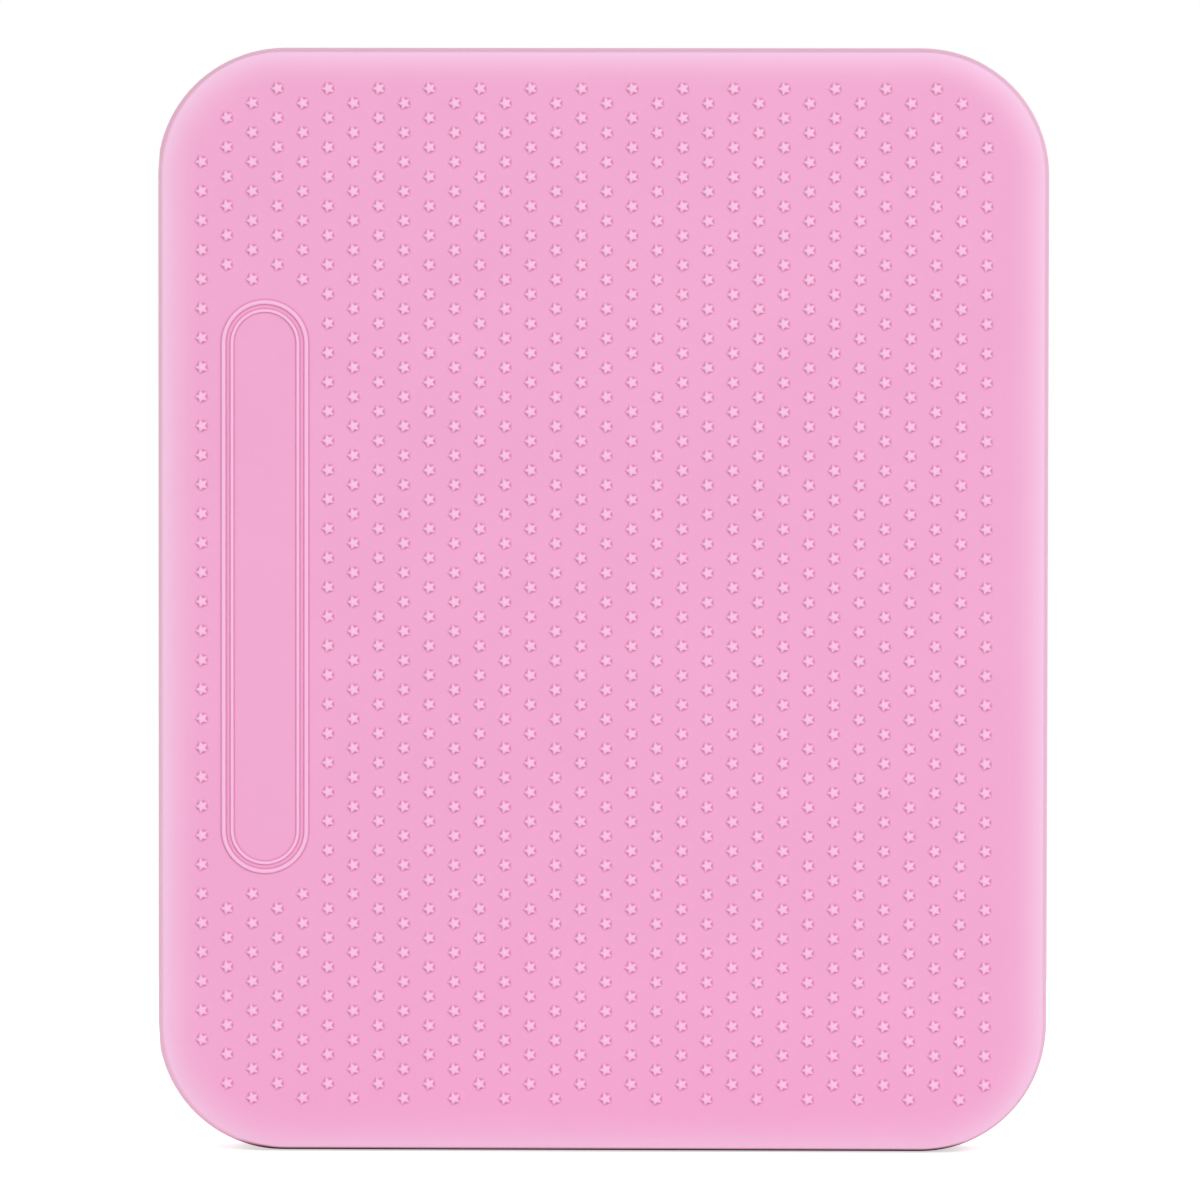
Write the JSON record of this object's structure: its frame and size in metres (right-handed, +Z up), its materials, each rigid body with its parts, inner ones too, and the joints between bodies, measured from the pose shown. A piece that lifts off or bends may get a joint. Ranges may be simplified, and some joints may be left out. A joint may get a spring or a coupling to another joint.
{
  "type": "pin badge board",
  "caption": "Flat hollow silicone case with rounded corners that opens like a book. Badges pin through its two faces and their clutches are hidden inside.",
  "frame": {"origin": "middle of the flat bottom edge that the shut board stands on", "axes": "+Z up along the board's height, +X to the right seen from the front, +Y to the back"},
  "size_m": [0.244, 0.025, 0.302],
  "materials": {
    "silicone": "matte moulded silicone",
    "frame_plastic": "fine moulded texture",
    "magnet_plating": "nickel plate"
  },
  "bodies": {
    "back_half": {"back_cover": "silicone", "back_frame": "frame_plastic", "back_magnet_1": "magnet_plating", "back_magnet_2": "magnet_plating", "back_magnet_3": "magnet_plating", "back_magnet_4": "magnet_plating", "back_magnet_5": "magnet_plating", "spine_hinge": "silicone"},
    "front_half": {"front_cover": "silicone", "front_frame": "frame_plastic", "front_magnet_1": "magnet_plating", "front_magnet_2": "magnet_plating", "front_magnet_3": "magnet_plating", "front_magnet_4": "magnet_plating", "front_magnet_5": "magnet_plating"}
  },
  "joints": [
    {"name": "spine_fold", "type": "hinge", "parent": "back_half", "child": "front_half", "pos_m": [-0.1213, 0, 0.151], "axis": [0, 0, -1], "range_deg": [0, 180]}
  ]
}
